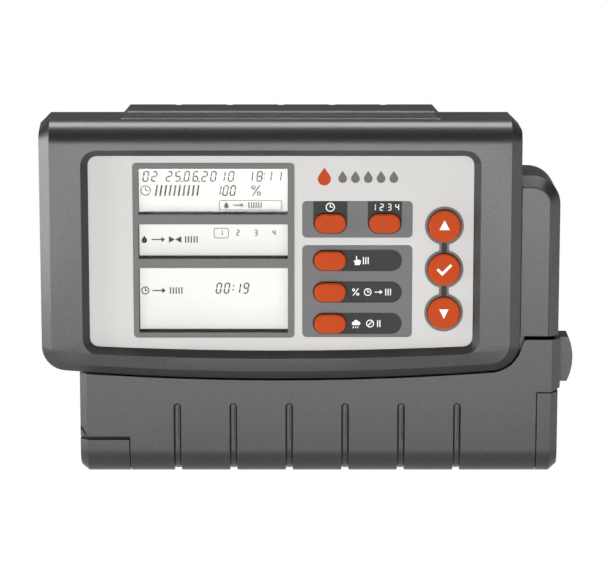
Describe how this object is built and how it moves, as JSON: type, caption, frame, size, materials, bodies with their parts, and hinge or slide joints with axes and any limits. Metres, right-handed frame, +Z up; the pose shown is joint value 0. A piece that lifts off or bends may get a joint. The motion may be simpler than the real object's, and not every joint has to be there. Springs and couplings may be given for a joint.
{
  "type": "irrigation controller",
  "caption": "Wall-mounted irrigation controller: a docked control unit with a display and keys on a wall base whose hinged cover closes the wiring terminals.",
  "frame": {"origin": "middle of the wall base's back face, in the plane of the wall", "axes": "+X to the right as seen from the front, +Y into the wall, +Z up"},
  "size_m": [0.2165, 0.041, 0.1499],
  "materials": {
    "housing": "fine textured satin, anthracite",
    "housing_dark": "fine textured, dark anthracite",
    "panel_grey": "smooth matt, light grey",
    "field_grey": "smooth matt, mid grey",
    "frame_grey": "smooth matt, mid grey",
    "key_orange": "smooth satin, orange red",
    "pane_clear": "clear polished",
    "lcd_front": "reflective liquid crystal cell",
    "lcd_back": "rear glass and reflector",
    "board_green": "solder mask",
    "chip_black": "moulded epoxy",
    "zinc_steel": "zinc plated",
    "contact_brass": "plated contact",
    "rubber_black": "moulded rubber",
    "silicone_grey": "silicone mat",
    "terminal_green": "moulded",
    "battery_jacket": "plain printed jacket without lettering",
    "lead_red": "wire insulation",
    "plastic_white": "moulded",
    "ceramic_blue": "dipped ceramic",
    "capacitor_sleeve": "shrink sleeve",
    "spring_steel": "drawn wire",
    "fuse_glass": "glass tube"
  },
  "bodies": {
    "wall_base": {"base_shell": "housing", "wall_plate": "housing_dark", "wall_plate_screws": "zinc_steel", "base_face_plate": "housing", "base_board": "board_green", "base_screws": "zinc_steel", "dock_socket": "chip_black", "dock_contacts": "contact_brass", "valve_terminals": "terminal_green", "power_terminals": "terminal_green", "sensor_terminals": "terminal_green", "terminal_screws": "zinc_steel", "valve_triacs": "chip_black", "supply_fuse": "fuse_glass", "fuse_clips": "contact_brass", "surge_varistor": "ceramic_blue", "supply_capacitor": "capacitor_sleeve", "cable_entry_bar": "housing", "cable_clamp": "plastic_white", "cable_grommets": "rubber_black", "hinge_pins": "zinc_steel", "latch_spring": "spring_steel"},
    "control_unit": {"control_front_shell": "housing", "control_back_shell": "housing_dark", "control_seal": "rubber_black", "case_screws": "zinc_steel", "battery": "battery_jacket", "battery_studs": "zinc_steel", "battery_clip": "chip_black", "battery_leads": "lead_red", "battery_plug": "plastic_white", "face_panel": "panel_grey", "key_field_upper": "field_grey", "key_field_lower": "field_grey", "key_field_round": "field_grey", "display_frame": "frame_grey", "display_panes": "pane_clear", "lcd_glass": "lcd_front", "lcd_rear_glass": "lcd_back", "lcd_carrier": "plastic_white", "lcd_contact_strips": "silicone_grey", "key_mat": "silicone_grey", "key_switches": "chip_black", "display_board": "board_green", "board_screws": "zinc_steel", "controller_chip": "chip_black", "clock_crystal": "zinc_steel", "board_capacitors": "capacitor_sleeve", "dock_plug": "chip_black"},
    "cover": {"terminal_cover": "housing"},
    "latch": {"latch_button": "housing"},
    "lid": {"battery_lid": "housing_dark"},
    "key_time_cap": {"key_time": "key_orange"},
    "key_channel_cap": {"key_channel": "key_orange"},
    "key_manual_cap": {"key_manual": "key_orange"},
    "key_percent_cap": {"key_percent": "key_orange"},
    "key_rain_cap": {"key_rain": "key_orange"},
    "key_up_cap": {"key_up": "key_orange"},
    "key_ok_cap": {"key_ok": "key_orange"},
    "key_down_cap": {"key_down": "key_orange"}
  },
  "joints": [
    {"name": "cover_swing", "type": "hinge", "parent": "wall_base", "child": "cover", "pos_m": [0.00575, -0.0235, -0.0502], "axis": [1, 0, 0], "range_deg": [0, 100]},
    {"name": "latch_press", "type": "slide", "parent": "wall_base", "child": "latch", "axis": [-1, 0, 0], "range_m": [0, 0.0025], "stiffness_N_per_m": 900},
    {"name": "control_unit_undock", "type": "slide", "parent": "wall_base", "child": "control_unit", "axis": [0, -1, 0], "range_m": [0, 0.026]},
    {"name": "battery_lid_slide", "type": "slide", "parent": "control_unit", "child": "lid", "axis": [0, 0, -1], "range_m": [0, 0.005]},
    {"name": "key_time_press", "type": "slide", "parent": "control_unit", "child": "key_time_cap", "axis": [0, 1, 0], "range_m": [0, 0.0008], "stiffness_N_per_m": 1500},
    {"name": "key_channel_press", "type": "slide", "parent": "control_unit", "child": "key_channel_cap", "axis": [0, 1, 0], "range_m": [0, 0.0008], "stiffness_N_per_m": 1500},
    {"name": "key_manual_press", "type": "slide", "parent": "control_unit", "child": "key_manual_cap", "axis": [0, 1, 0], "range_m": [0, 0.0008], "stiffness_N_per_m": 1500},
    {"name": "key_percent_press", "type": "slide", "parent": "control_unit", "child": "key_percent_cap", "axis": [0, 1, 0], "range_m": [0, 0.0008], "stiffness_N_per_m": 1500},
    {"name": "key_rain_press", "type": "slide", "parent": "control_unit", "child": "key_rain_cap", "axis": [0, 1, 0], "range_m": [0, 0.0008], "stiffness_N_per_m": 1500},
    {"name": "key_up_press", "type": "slide", "parent": "control_unit", "child": "key_up_cap", "axis": [0, 1, 0], "range_m": [0, 0.0008], "stiffness_N_per_m": 1500},
    {"name": "key_ok_press", "type": "slide", "parent": "control_unit", "child": "key_ok_cap", "axis": [0, 1, 0], "range_m": [0, 0.0008], "stiffness_N_per_m": 1500},
    {"name": "key_down_press", "type": "slide", "parent": "control_unit", "child": "key_down_cap", "axis": [0, 1, 0], "range_m": [0, 0.0008], "stiffness_N_per_m": 1500}
  ]
}
